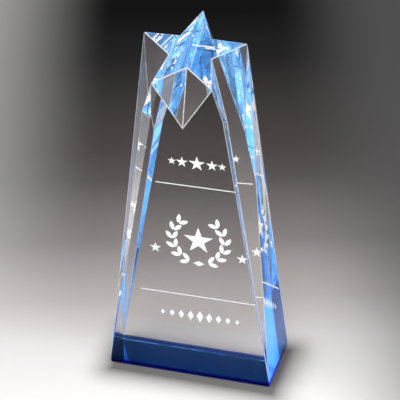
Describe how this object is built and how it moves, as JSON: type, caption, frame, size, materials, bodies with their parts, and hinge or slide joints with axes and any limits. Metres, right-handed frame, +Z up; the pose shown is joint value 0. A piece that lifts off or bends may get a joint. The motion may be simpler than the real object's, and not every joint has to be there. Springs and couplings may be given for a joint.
{
  "type": "star tower award",
  "caption": "Clear acrylic tower whose sloping top is a five-pointed star, on a thin blue acrylic base sheet, with a white-filled engraving on its back.",
  "frame": {"origin": "centre of the blue sheet's underside, which is the bottom centre of the bounding box", "axes": "+Z up along the tower's height, -Y out of the front face, +Y out of the engraved back face, X across the width and normal to the plane of symmetry"},
  "size_m": [0.1016, 0.0454, 0.2274],
  "materials": {
    "clear_acrylic": "flame-polished clear cast acrylic",
    "blue_acrylic": "polished transparent blue acrylic sheet",
    "acrylic_cement": "cured clear solvent cement",
    "white_fill": "matte white paint in a shallow engraving"
  },
  "bodies": {
    "root": {"clear_tower": "clear_acrylic", "blue_sheet": "blue_acrylic", "cement_film": "acrylic_cement", "upper_rule": "white_fill", "lower_rule": "white_fill", "crest_stars": "white_fill", "wreath_left": "white_fill", "wreath_right": "white_fill", "wreath_tie": "white_fill", "centre_star": "white_fill", "flank_stars": "white_fill", "lozenge_row": "white_fill"}
  },
  "joints": []
}
